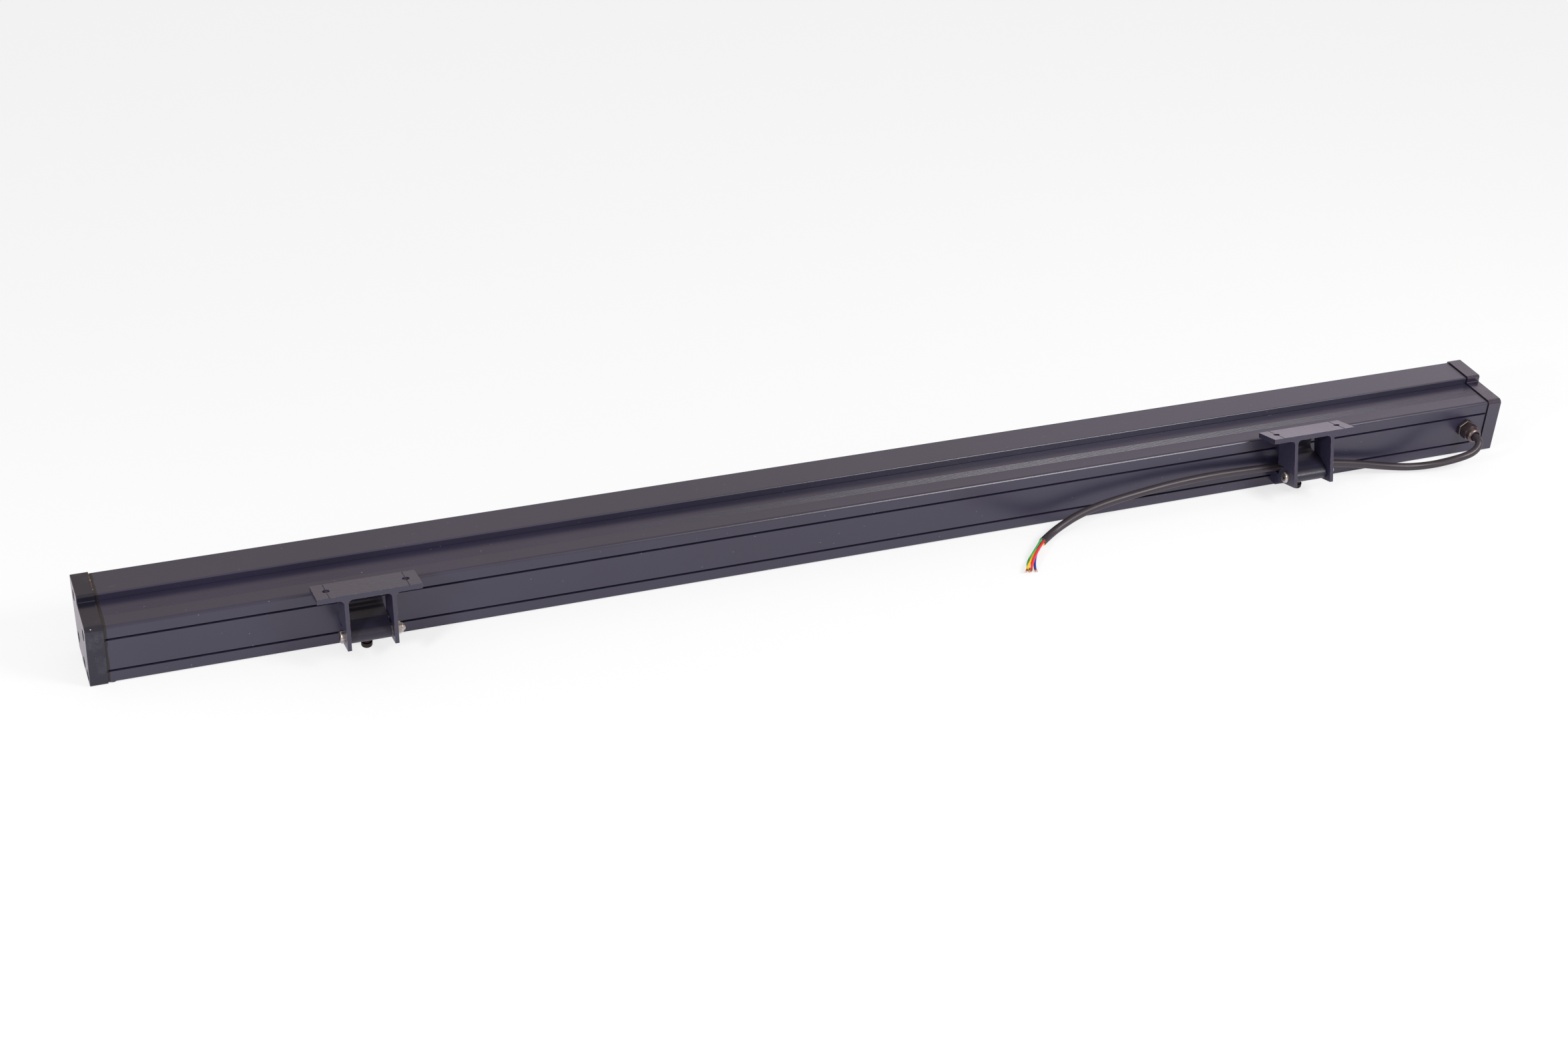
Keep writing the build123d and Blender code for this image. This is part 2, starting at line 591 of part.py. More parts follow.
# ---- supply cord -------------------------------------------------------------------------------------
def tube(points, diameter, name, least=0.0):
    """A round tube along straight runs joined by arcs, each as large as its two runs allow."""
    pts = [Vector(*p) for p in points]
    radii = []
    for a, b, c in zip(pts, pts[1:], pts[2:]):
        run = min((b - a).length, (c - b).length)
        radii.append(0.45 * run / tan(radians((b - a).get_angle(c - b)) / 2))
    with BuildPart() as hose:
        with BuildLine() as path:
            FilletPolyline(*pts, radius=radii)
        route = path.wires()[0]
        with BuildSketch(Plane(origin=pts[0], z_dir=pts[1] - pts[0])):
            Circle(diameter / 2)
        sweep(path=route)
    ideal = pi * diameter ** 2 / 4 * route.length
    print(name, "length %.1f" % route.length, "volume/ideal %.4f" % (hose.part.volume / ideal),
          "radii", [round(r, 1) for r in radii])
    return hose.part


CORD_START = (GLAND_X, GLAND_FRONT, GLAND_Z)
CORD = [CORD_START, (GLAND_X, -18.6, GLAND_Z), (470.2, -22.0, 17.6), (464.3, -23.8, 14.6), (457.0, -23.9, 12.7),
        (448.4, -21.6, 9.6), (437.0, -17.3, 5.6), (422.9, -13.2, 3.7), (409.2, -10.3, 4.5), (393.6, -8.4, 7.1),
        (376, -7.3, 10.9), (352, -6.3, 14.9), (330, -5.8, 17.2), (310, -5.7, 18.2), (288, -6.1, 19.5),
        (258, -6.9, 20.7), (227, -8.0, 20.2), (197, -9.0, 17.5), (170.4, -9.9, 14.1), (152.6, -11.0, 9.6),
        (139.6, -13.4, 5.0), (129.6, -17.4, 2.5), (121.2, -23.2, 2.0)]
save(tube([space(*p) for p in CORD], CORD_D, "supply_cord"), "supply_cord")

with BuildPart() as cord_tail:
    with BuildSketch(gland_plane(GLAND_FRONT)):
        Circle(CORD_R)
    extrude(amount=-20.6)
save(cord_tail.part, "cord_tail")

# ---- conductors: four insulated wires with bare ends, laid out on the surface -----------------------
end = Vector(*CORD[-1])
way = (end - Vector(*CORD[-2])).normalized()
left = way.cross(Vector(0, 0, 1)).normalized()
over = left.cross(way)


def core(a, b, run=0.0):
    """A conductor's place in the jacket's cut end: a to the left, b up, run mm out of it."""
    p = end + left * a + over * b + way * run
    return (p.X, p.Y, p.Z)


WIRES = {
    "green": [core(0.95, 0.95), core(0.95, 0.95, 3.4), (111.2, -30.1, 3.0), (104.7, -36.5, 1.3), (100.0, -42.6, 0.4)],
    "yellow": [core(0.95, -0.95), core(0.95, -0.95, 2.6), (113.8, -29.5, 1.2), (109.4, -34.8, 0.7),
               (102.4, -42.7, 1.3), (95.8, -50.6, 1.4)],
    "red": [core(-0.95, 0.95), core(-0.95, 0.95, 3.0), (113.9, -31.6, 3.6), (106.9, -39.6, 3.1),
            (100.7, -46.9, 3.3), (97.9, -51.6, 2.4)],
    "blue": [core(-0.95, -0.95), core(-0.95, -0.95, 1.8), (114.6, -32.5, 0.3), (107.6, -38.9, 0.05),
             (104.2, -45.3, 0.1), (101.3, -49.9, 0.1)],
}
for colour, pts in WIRES.items():
    save(tube([space(*p) for p in pts], WIRE_D, "wire_" + colour), "wire_" + colour)
    last = Vector(*space(*pts[-1]))
    way = last - Vector(*space(*pts[-2]))
    with BuildPart() as tip:
        with BuildSketch(Plane(origin=last, z_dir=way)):
            Circle(0.55)
        extrude(amount=5.0)
    save(tip.part, "wire_tip_" + colour)
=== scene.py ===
"""Outdoor wall washer light: camera, studio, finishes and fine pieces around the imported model."""
import json
import math
import random

import bpy
from mathutils import Matrix, Vector


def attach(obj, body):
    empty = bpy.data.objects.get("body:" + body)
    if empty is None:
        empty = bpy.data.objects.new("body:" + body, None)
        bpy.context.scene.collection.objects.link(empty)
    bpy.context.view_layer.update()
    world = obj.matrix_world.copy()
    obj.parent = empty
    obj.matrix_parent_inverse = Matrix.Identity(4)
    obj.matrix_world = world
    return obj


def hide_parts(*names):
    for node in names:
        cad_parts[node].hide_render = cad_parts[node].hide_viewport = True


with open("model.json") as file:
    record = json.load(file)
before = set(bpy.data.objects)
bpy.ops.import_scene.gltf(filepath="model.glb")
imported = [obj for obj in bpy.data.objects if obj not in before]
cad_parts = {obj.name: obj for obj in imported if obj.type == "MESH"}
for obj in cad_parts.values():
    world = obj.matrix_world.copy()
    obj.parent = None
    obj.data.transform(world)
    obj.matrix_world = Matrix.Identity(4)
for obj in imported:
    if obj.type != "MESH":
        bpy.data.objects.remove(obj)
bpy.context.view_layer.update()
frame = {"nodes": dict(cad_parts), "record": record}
scene = bpy.context.scene
nodes = frame["nodes"]
mm = 0.001

# Where the CAD sections are measured from: the slotted panel's face and the housing's underside.
PANEL_Y = -10.45
FLOOR_Z = 0.9


def space(x, y, z):
    """A point given in section millimetres, in the frame's metres."""
    return Vector((x * mm, (PANEL_Y + y) * mm, (FLOOR_Z + z) * mm))


def link(name, data):
    """A new object in the scene, at the origin."""
    made = bpy.data.objects.new(name, data)
    scene.collection.objects.link(made)
    return made


# ---------------------------------------------------------------------------------------------------
# Camera: the photograph's viewpoint, a long lens from the left, above the slotted panel.
# ---------------------------------------------------------------------------------------------------
CAMERA_PLACE = (-612.69, -1232.16, 886.58)
CAMERA_AIM = (0.3465, 0.77145, -0.53366)
CAMERA_TOP = (0.15142, 0.51545, 0.84344)
FOCAL_LENGTH = 56.8376
SENSOR_WIDTH = 36.0


def aim_camera():
    lens = bpy.data.cameras.new("camera")
    lens.sensor_width = SENSOR_WIDTH
    lens.sensor_fit = "HORIZONTAL"
    lens.lens = FOCAL_LENGTH
    lens.clip_start = 0.05
    lens.clip_end = 40.0
    camera = link("camera", lens)
    forward = Vector(CAMERA_AIM).normalized()
    right = forward.cross(Vector(CAMERA_TOP)).normalized()
    up = right.cross(forward)
    turn = Matrix((right, up, -forward)).transposed()
    camera.matrix_world = Matrix.Translation(space(*CAMERA_PLACE)) @ turn.to_4x4()
    scene.camera = camera


aim_camera()


# ---------------------------------------------------------------------------------------------------
# Ways to write shader nodes shortly.
# ---------------------------------------------------------------------------------------------------
def add(tree, kind, inputs=None, **settings):
    """A shader node with its settings, its inputs given as values or as sockets to link."""
    node = tree.nodes.new(kind)
    for name, value in settings.items():
        setattr(node, name, value)
    for name, value in (inputs or {}).items():
        if isinstance(value, bpy.types.NodeSocket):
            tree.links.new(value, node.inputs[name])
        else:
            node.inputs[name].default_value = value
    return node


def math_node(tree, operation, a, b=0.5, clamp=False):
    return add(tree, "ShaderNodeMath", {0: a, 1: b}, operation=operation, use_clamp=clamp).outputs[0]


def dot(tree, a, b):
    return add(tree, "ShaderNodeVectorMath", {0: a, 1: b}, operation="DOT_PRODUCT").outputs["Value"]


def mix_colour(tree, factor, a, b):
    """Mixes two colours: the node's colour sockets are inputs 6 and 7 and output 2."""
    return add(tree, "ShaderNodeMix", {0: factor, 6: a, 7: b}, data_type="RGBA").outputs[2]


def ramp(tree, source, low, high, start=0.0, end=1.0):
    """Rescales a value from low..high to start..end, clamped."""
    return add(tree, "ShaderNodeMapRange", {"Value": source, "From Min": low, "From Max": high,
                                            "To Min": start, "To Max": end}).outputs["Result"]


def place_on_object(tree):
    return add(tree, "ShaderNodeTexCoord").outputs["Object"]


def noise(tree, coords, scale, detail, roughness=0.5):
    return add(tree, "ShaderNodeTexNoise", {"Vector": coords, "Scale": scale, "Detail": detail,
                                            "Roughness": roughness}).outputs["Fac"]


def cells(tree, coords, scale, share):
    """Distance from each cell's middle, and a mask of the cells that are picked, share of all left out."""
    spread = add(tree, "ShaderNodeTexVoronoi", {"Vector": coords, "Scale": scale}).outputs
    chance = add(tree, "ShaderNodeSeparateColor", {"Color": spread["Color"]}).outputs[0]
    return spread["Distance"], math_node(tree, "GREATER_THAN", chance, share)


def rgba(r, g, b):
    return (r, g, b, 1.0)


def shades(colour, variation):
    """The darkest and palest tone of a colour that drifts a little."""
    return (tuple(c * (1 - variation) for c in colour[:3]) + (1.0,),
            tuple(min(1.0, c * (1 + variation)) for c in colour[:3]) + (1.0,))


# ---------------------------------------------------------------------------------------------------
# Shader node groups for effects that several finishes share.
# ---------------------------------------------------------------------------------------------------
def new_group(name, inputs, output):
    """A node group of plain numbers, with its inputs' names and usual values."""
    group = bpy.data.node_groups.new(name, "ShaderNodeTree")
    for label, value in inputs.items():
        item = group.interface.new_socket(name=label, in_out="INPUT", socket_type="NodeSocketFloat")
        item.default_value = value
    group.interface.new_socket(name=output, in_out="OUTPUT", socket_type="NodeSocketFloat")
    given = group.nodes.new("NodeGroupInput").outputs
    result = group.nodes.new("NodeGroupOutput").inputs[output]
    return group, given, result


def build_worn_edges():
    """How much an outer edge is rubbed: 1 on the edge, broken up by noise, 0 on flat faces."""
    group, given, result = new_group(
        "worn edges", {"Width": 0.0004, "Amount": 0.5, "Patch Scale": 320.0}, "Mask")
    flat = add(group, "ShaderNodeNewGeometry").outputs["Normal"]
    rounded = add(group, "ShaderNodeBevel", {"Radius": given["Width"]}, samples=6).outputs["Normal"]
    edge = ramp(group, dot(group, flat, rounded), 0.995, 0.8)
    patches = noise(group, place_on_object(group), given["Patch Scale"], 5.0, 0.7)
    limit = math_node(group, "SUBTRACT", 1.0, given["Amount"])
    broken = math_node(group, "GREATER_THAN", patches, limit)
    group.links.new(math_node(group, "MULTIPLY", edge, broken), result)
    return group


def build_dust():
    """Pale settled dust: faint grainy clouds, and sparse specks."""
    clean_share = 0.985
    group, given, result = new_group(
        "dust", {"Cloud Scale": 70.0, "Speck Scale": 620.0, "Clouds": 0.3, "Specks": 0.6}, "Mask")
    coords = place_on_object(group)
    clouds = ramp(group, noise(group, coords, given["Cloud Scale"], 6.0, 0.65), 0.50, 0.75)
    grains = ramp(group, noise(group, coords, 2400.0, 2.0), 0.35, 0.75)
    cloud = math_node(group, "MULTIPLY", math_node(group, "MULTIPLY", clouds, grains), given["Clouds"])
    distance, picked = cells(group, coords, given["Speck Scale"], clean_share)
    speck = math_node(group, "MULTIPLY", picked, ramp(group, distance, 0.22, 0.10))
    speck = math_node(group, "MULTIPLY", speck, given["Specks"])
    group.links.new(math_node(group, "ADD", cloud, speck, clamp=True), result)
    return group


def build_powder():
    """The fine skin of baked powder: tight grains over a slower ripple."""
    group, given, result = new_group(
        "powder skin", {"Grain Scale": 1500.0, "Ripple Scale": 380.0, "Depth": 0.5}, "Height")
    coords = place_on_object(group)
    grain = math_node(group, "MULTIPLY", noise(group, coords, given["Grain Scale"], 2.0, 0.6), 0.6)
    ripple = math_node(group, "MULTIPLY", noise(group, coords, given["Ripple Scale"], 1.0, 0.4), 0.4)
    both = math_node(group, "ADD", grain, ripple)
    group.links.new(math_node(group, "MULTIPLY", both, given["Depth"]), result)
    return group


def build_scratches():
    """Short straight scratches: cells drawn out along two odd directions, a few of them chosen."""
    clean_share = 0.86
    drawn_out = (0.05, 1.0, 1.0)
    group, given, result = new_group("hairlines", {"Scale": 420.0, "Amount": 0.4}, "Mask")
    coords = place_on_object(group)
    lines = []
    for angle in ((0.3, 0.5, 0.7), (-0.6, 0.2, -0.9)):
        turned = add(group, "ShaderNodeMapping", {"Vector": coords, "Rotation": angle, "Scale": drawn_out})
        distance, picked = cells(group, turned.outputs[0], given["Scale"], clean_share)
        lines.append(math_node(group, "MULTIPLY", ramp(group, distance, 0.07, 0.02), picked))
    both = math_node(group, "ADD", *lines, clamp=True)
    where = ramp(group, noise(group, coords, 23.0, 2.0), 0.5, 0.6)
    both = math_node(group, "MULTIPLY", both, where)
    group.links.new(math_node(group, "MULTIPLY", both, given["Amount"]), result)
    return group


WORN = build_worn_edges()
DUST = build_dust()
POWDER = build_powder()
HAIRLINES = build_scratches()


def use(tree, group, **values):
    """A shared effect placed in a material, with the values that this finish gives it."""
    node = tree.nodes.new("ShaderNodeGroup")
    node.node_tree = group
    for name, value in values.items():
        node.inputs[name.replace("_", " ")].default_value = value
    return node.outputs[0]


# ---------------------------------------------------------------------------------------------------
# Finishes.
# ---------------------------------------------------------------------------------------------------
def new_material(name):
    material = bpy.data.materials.new(name)
    material.use_nodes = True
    tree = material.node_tree
    return material, tree, tree.nodes["Principled BSDF"]


def bump(tree, shader, height, strength, distance):
    node = add(tree, "ShaderNodeBump", {"Height": height, "Strength": strength, "Distance": distance})
    tree.links.new(node.outputs["Normal"], shader.inputs["Normal"])


PALE_DUST = rgba(0.42, 0.41, 0.43)
SCRATCHED = 0.25


def painted(name, colour, roughness, worn_colour, wear, clouds, specks, depth, width=0.00025, grain=1500.0,
            dust_colour=PALE_DUST, ior=1.65):
    """Powder coat: grained skin, faint tone drift, dust, hairlines, and edges rubbed to primer."""
    material, tree, shader = new_material(name)
    drift = noise(tree, place_on_object(tree), 9.0, 3.0)
    base = mix_colour(tree, ramp(tree, drift, 0.3, 0.7), *shades(colour, 0.12))
    settled = use(tree, DUST, Clouds=clouds, Specks=specks)
    base = mix_colour(tree, settled, base, dust_colour)
    base = mix_colour(tree, use(tree, HAIRLINES, Amount=SCRATCHED), base, dust_colour)
    base = mix_colour(tree, use(tree, WORN, Width=width, Amount=wear), base, worn_colour)
    tree.links.new(base, shader.inputs["Base Color"])
    rough = ramp(tree, drift, 0.3, 0.7, roughness - 0.03, roughness + 0.04)
    rough = math_node(tree, "ADD", rough, math_node(tree, "MULTIPLY", settled, 0.25))
    tree.links.new(rough, shader.inputs["Roughness"])
    shader.inputs["IOR"].default_value = ior
    bump(tree, shader, use(tree, POWDER, Grain_Scale=grain, Depth=depth), 0.35, 0.00025)
    return material


def metal(name, colour, roughness, tarnish, spots):
    """Small turned hardware: fine turning marks and a patchy tarnish."""
    material, tree, shader = new_material(name)
    coords = place_on_object(tree)
    patches = ramp(tree, noise(tree, coords, 260.0, 4.0, 0.65), 0.5, 0.72)
    spread = math_node(tree, "MULTIPLY", patches, spots)
    tree.links.new(mix_colour(tree, spread, colour, tarnish), shader.inputs["Base Color"])
    rough = math_node(tree, "ADD", math_node(tree, "MULTIPLY", spread, 0.4), roughness)
    tree.links.new(rough, shader.inputs["Roughness"])
    shader.inputs["Metallic"].default_value = 1.0
    bump(tree, shader, noise(tree, coords, 2600.0, 2.0), 0.2, 0.00005)
    return material


def plastic(name, colour, roughness, variation=0.12, grain=0.15, scale=900.0):
    """Moulded plastic, rubber and sealant: a slow drift of tone and gloss over a fine grain."""
    material, tree, shader = new_material(name)
    coords = place_on_object(tree)
    drift = noise(tree, coords, 60.0, 4.0)
    base = mix_colour(tree, ramp(tree, drift, 0.3, 0.7), *shades(colour, variation))
    tree.links.new(base, shader.inputs["Base Color"])
    rough = ramp(tree, drift, 0.3, 0.7, roughness - 0.05, roughness + 0.05)
    tree.links.new(rough, shader.inputs["Roughness"])
    bump(tree, shader, noise(tree, coords, scale, 2.0), grain, 0.0001)
    return material


def clear(name, colour, roughness, ior):
    """Glass and clear moulded plastic, a little dusty."""
    material, tree, shader = new_material(name)
    film = noise(tree, place_on_object(tree), 30.0, 5.0)
    tree.links.new(ramp(tree, film, 0.45, 0.8, roughness, roughness + 0.12), shader.inputs["Roughness"])
    shader.inputs["Base Color"].default_value = colour
    shader.inputs["Transmission Weight"].default_value = 1.0
    shader.inputs["IOR"].default_value = ior
    return material


def cord_jacket():
    """Soft black-brown jacket with a painted shade line and a painted sheen line along its upper side, set
    by which way the surface faces.
    """
    line_half = 0.035
    line_core = 0.008
    material, tree, shader = new_material("cord jacket with painted sheen")
    coords = place_on_object(tree)
    drift = noise(tree, coords, 60.0, 4.0)
    tone = ramp(tree, drift, 0.3, 0.7)
    base = mix_colour(tree, tone, rgba(0.021, 0.015, 0.022), rgba(0.031, 0.023, 0.032))
    facing = add(tree, "ShaderNodeNewGeometry").outputs["Normal"]
    # Painted shade (the dark line) and painted sheen (the pale line), both picked by the surface's facing.
    for direction, line_at, colour in (((-0.15, -0.55, 0.82), 0.90, rgba(0.008, 0.005, 0.008)),
                                       ((-0.10, -0.90, 0.42), 0.93, rgba(0.055, 0.043, 0.050))):
        off = math_node(tree, "SUBTRACT", dot(tree, facing, direction), line_at)
        off = math_node(tree, "ABSOLUTE", off)
        base = mix_colour(tree, ramp(tree, off, line_half, line_core, 0.0, 0.85), base, colour)
    tree.links.new(base, shader.inputs["Base Color"])
    tree.links.new(ramp(tree, drift, 0.3, 0.7, 0.39, 0.48), shader.inputs["Roughness"])
    bump(tree, shader, noise(tree, coords, 900.0, 2.0), 0.15, 0.0001)
    return material


def lamp_chips():
    """Phosphor on the chips and bare tinned track between them, by place along the board."""
    pitch = 40.0
    chip_half = 1.8
    phosphor_half = 1.25
    material, tree, shader = new_material("phosphor chips and track")
    coords = place_on_object(tree)
    along = add(tree, "ShaderNodeSeparateXYZ", {0: coords}).outputs["X"]
    step = math_node(tree, "FRACT", math_node(tree, "DIVIDE", along, pitch * mm))
    off = math_node(tree, "ABSOLUTE", math_node(tree, "SUBTRACT", step, 0.5))
    on_chip = math_node(tree, "LESS_THAN", off, chip_half / pitch)
    on_phosphor = math_node(tree, "LESS_THAN", off, phosphor_half / pitch)
    grain = noise(tree, coords, 1500.0, 2.0)
    yellow = mix_colour(tree, ramp(tree, grain, 0.3, 0.7), rgba(0.85, 0.60, 0.08), rgba(0.95, 0.76, 0.18))
    body = mix_colour(tree, on_phosphor, rgba(0.85, 0.84, 0.80), yellow)
    tree.links.new(mix_colour(tree, on_chip, rgba(0.55, 0.56, 0.55), body), shader.inputs["Base Color"])
    tree.links.new(ramp(tree, grain, 0.3, 0.7, 0.30, 0.42), shader.inputs["Roughness"])
    return material


HOUSING_GREY = rgba(0.0215, 0.0185, 0.041)
RUBBED_CASTING = rgba(0.28, 0.17, 0.125)
CAP_WEAR = {"roughness": 0.21, "worn_colour": rgba(0.40, 0.24, 0.15), "wear": 0.36, "clouds": 0.40,
            "specks": 0.9, "depth": 0.05, "dust_colour": rgba(0.20, 0.19, 0.23)}

powder = painted("dark grey powder coat", HOUSING_GREY, 0.31, rgba(0.16, 0.12, 0.11), wear=0.2,
                 clouds=0.0, specks=0.45, depth=0.35)
bracket_powder = painted("grainy bracket powder coat", HOUSING_GREY, 0.28, RUBBED_CASTING, wear=0.45,
                         clouds=0.0, specks=0.6, depth=1.7, width=0.0003, grain=800.0)
# A darker copy of the housing grey, painted shade for the adaptors between the webs under the plate; it is
# rougher and of lower IOR as well.
adaptor_powder = painted("duller adaptor powder coat with painted shade", rgba(0.013, 0.0115, 0.024), 0.36, RUBBED_CASTING,
                         wear=0.40, clouds=0.0, specks=0.6, depth=1.4, grain=800.0, ior=1.5)
# One paint on both caps: the left cap's darker colour is painted shade, and the right cap's paler, purpler
# colour and higher IOR are painted light.
cap_paint = painted("left cap paint with painted shade", rgba(0.0115, 0.0112, 0.021), ior=1.5, **CAP_WEAR)
glossier_lit_cap_paint = painted("right cap paint with painted light", rgba(0.0190, 0.0135, 0.032), ior=1.72, **CAP_WEAR)
bright_steel = metal("zinc plated steel", rgba(0.52, 0.49, 0.47), 0.23, rgba(0.08, 0.06, 0.055), 0.8)
brown_steel = metal("oxidised steel", rgba(0.048, 0.036, 0.034), 0.40, rgba(0.02, 0.014, 0.012), 0.8)
gland_plate = metal("worn dark nickel", rgba(0.165, 0.135, 0.138), 0.36, rgba(0.24, 0.15, 0.11), 0.35)
copper = metal("bare copper", rgba(0.78, 0.40, 0.24), 0.32, rgba(0.5, 0.2, 0.1), 0.3)
black_rubber = plastic("black rubber", rgba(0.02, 0.02, 0.02), 0.7)
silicone = plastic("white silicone", rgba(0.62, 0.63, 0.62), 0.4)
cut_plastic = plastic("cut jacket face", rgba(0.20, 0.18, 0.19), 0.6)
insulation = {"green": plastic("green insulation", rgba(0.06, 0.46, 0.12), 0.35),
              "yellow": plastic("yellow insulation", rgba(0.95, 0.55, 0.008), 0.35),
              "red": plastic("red insulation", rgba(0.76, 0.030, 0.050), 0.35),
              "blue": plastic("blue insulation", rgba(0.030, 0.075, 0.45), 0.35)}
white_board = plastic("white solder mask", rgba(0.85, 0.85, 0.82), 0.3)
green_board = plastic("green solder mask", rgba(0.02, 0.2, 0.06), 0.3)
black_plastic = plastic("black plastic", rgba(0.02, 0.02, 0.022), 0.5)
grey_plastic = plastic("grey plastic", rgba(0.4, 0.41, 0.42), 0.45)
sealant = plastic("brown sealant", rgba(0.013, 0.009, 0.010), 0.42, variation=0.4, grain=0.5, scale=500.0)
primer = plastic("bare primer", rgba(0.50, 0.44, 0.43), 0.55, variation=0.2)
rust = plastic("orange primer and rust", rgba(0.28, 0.12, 0.06), 0.6, variation=0.3)
scuff = plastic("scuffed powder coat", rgba(0.11, 0.095, 0.12), 0.45, variation=0.3)
jacket = cord_jacket()
phosphor = lamp_chips()
clear_glass = clear("tempered glass", rgba(0.93, 0.98, 0.96), 0.02, 1.5)
clear_lens = clear("clear lens plastic", rgba(0.97, 0.97, 0.98), 0.05, 1.49)

FINISH = {"powder_coat": powder, "cap_paint": cap_paint, "steel": bright_steel, "dark_steel": brown_steel,
          "black_rubber": black_rubber, "silicone": silicone, "clear_glass": clear_glass,
          "white_board": white_board, "led_yellow": phosphor, "clear_lens": clear_lens,
          "green_board": green_board, "black_plastic": black_plastic, "grey_plastic": grey_plastic,
          "gland_nickel": gland_plate, "cord_jacket": jacket, "copper": copper,
          "core_green": insulation["green"], "core_yellow": insulation["yellow"],
          "core_red": insulation["red"], "core_blue": insulation["blue"]}


def finish_of(node, slot):
    """The slot's finish, or a variant on a few nodes: a grainier coat on brackets and jaws, painted shade
    on the adaptors, painted light on the right cap.
    """
    if node.startswith(("bracket_", "jaw_")):
        return bracket_powder
    if node.startswith("adaptor_"):
        return adaptor_powder
    # The right cap gets the copy with painted light.
    if node == "end_cap_right":
        return glossier_lit_cap_paint
    return FINISH[slot]


for entry in frame["record"]["subparts"]:
    carried_over = nodes[entry["node"]].data.materials
    carried_over.clear()
    carried_over.append(finish_of(entry["node"], entry["material_slot"]))


# ---------------------------------------------------------------------------------------------------
# Supply cord: one smooth line through the route, from the gland to its cut end.
# ---------------------------------------------------------------------------------------------------
CORD = [(472.5, -13.6, 21.0), (472.5, -18.6, 21.0), (470.2, -22.0, 17.6), (464.3, -23.8, 14.6),
        (457.0, -23.9, 12.7), (448.4, -21.6, 9.6), (437.0, -17.3, 5.6), (422.9, -13.2, 3.7),
        (409.2, -10.3, 4.5), (393.6, -8.4, 7.1), (376, -7.3, 10.9), (352, -6.3, 14.9), (330, -5.8, 17.2),
        (310, -5.7, 18.2), (288, -6.1, 19.5), (258, -6.9, 20.7), (227, -8.0, 20.2), (197, -9.0, 17.5),
        (170.4, -9.9, 14.1), (152.6, -11.0, 9.6), (139.6, -13.4, 5.0), (129.6, -17.4, 2.5),
        (121.2, -23.2, 2.0)]
CORD_D = 5.4


def round_curve(name, radius, sides, material):
    """An empty curve whose lines get a round section and closed ends."""
    curve = bpy.data.curves.new(name, "CURVE")
    curve.dimensions = "3D"
    curve.bevel_depth = radius
    curve.bevel_resolution = sides
    curve.use_fill_caps = True
    curve.materials.append(material)
    return curve


def smooth_line(curve, points, resolution):
    """Adds a line that is drawn by its control points, given in section millimetres."""
    spline = curve.splines.new("NURBS")
    spline.points.add(len(points) - 1)
    for target, point in zip(spline.points, points):
        target.co = (*space(*point), 1.0)
    spline.order_u = 3
    spline.use_endpoint_u = True
    spline.resolution_u = resolution


def supply_cord():
    curve = round_curve("cord", CORD_D / 2 * mm, 8, jacket)
    smooth_line(curve, CORD, 12)
    piece = link("cord", curve)
    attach(piece, "light")
    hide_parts("supply_cord")
    return piece


cord = supply_cord()


# ---------------------------------------------------------------------------------------------------
# Stage: pale floor, soft light.
# ---------------------------------------------------------------------------------------------------
# Level direction, to the right and behind, in which the surroundings are brightest.
BRIGHT_SIDE = (0.766, 0.643, 0.0)
PLAIN_LIGHT = 0.55
WHITE = rgba(1.0, 1.0, 1.0)


def studio_world():
    """Plain surroundings; in gloss alone they are dimmer and warmer to the left, brighter to the right."""
    world = bpy.data.worlds.new("studio")
    scene.world = world
    world.use_nodes = True
    tree = world.node_tree
    background = tree.nodes["Background"]
    ray = add(tree, "ShaderNodeLightPath").outputs
    in_gloss = ray["Is Glossy Ray"]
    seen = math_node(tree, "MAXIMUM", ray["Is Camera Ray"], in_gloss)
    seen = math_node(tree, "MAXIMUM", seen, ray["Is Transmission Ray"])
    aim = dot(tree, add(tree, "ShaderNodeTexCoord").outputs["Generated"], BRIGHT_SIDE)
    slow_rise = ramp(tree, aim, 0.66, 0.90, 0.67, 0.98)
    last_rise = ramp(tree, aim, 0.90, 0.99, 0.0, 1.5)
    wall = math_node(tree, "MULTIPLY", math_node(tree, "ADD", slow_rise, last_rise), in_gloss)
    not_gloss = math_node(tree, "SUBTRACT", 1.0, in_gloss)
    plain = math_node(tree, "MULTIPLY", ramp(tree, seen, 0.0, 1.0, PLAIN_LIGHT, 1.0), not_gloss)
    tree.links.new(math_node(tree, "ADD", wall, plain), background.inputs["Strength"])
    warm = mix_colour(tree, ramp(tree, aim, 0.66, 0.94), rgba(1.0, 0.86, 0.78), rgba(1.0, 0.90, 1.0))
    tree.links.new(mix_colour(tree, in_gloss, WHITE, warm), background.inputs["Color"])


def studio_lamp(name, place, target, size, energy):
    data = bpy.data.lights.new(name, "AREA")
    data.shape = "DISK"
    data.size = size
    data.energy = energy
    lamp = link(name, data)
    lamp.location = place
    lamp.rotation_euler = (Vector(target) - Vector(place)).to_track_quat("-Z", "Y").to_euler()


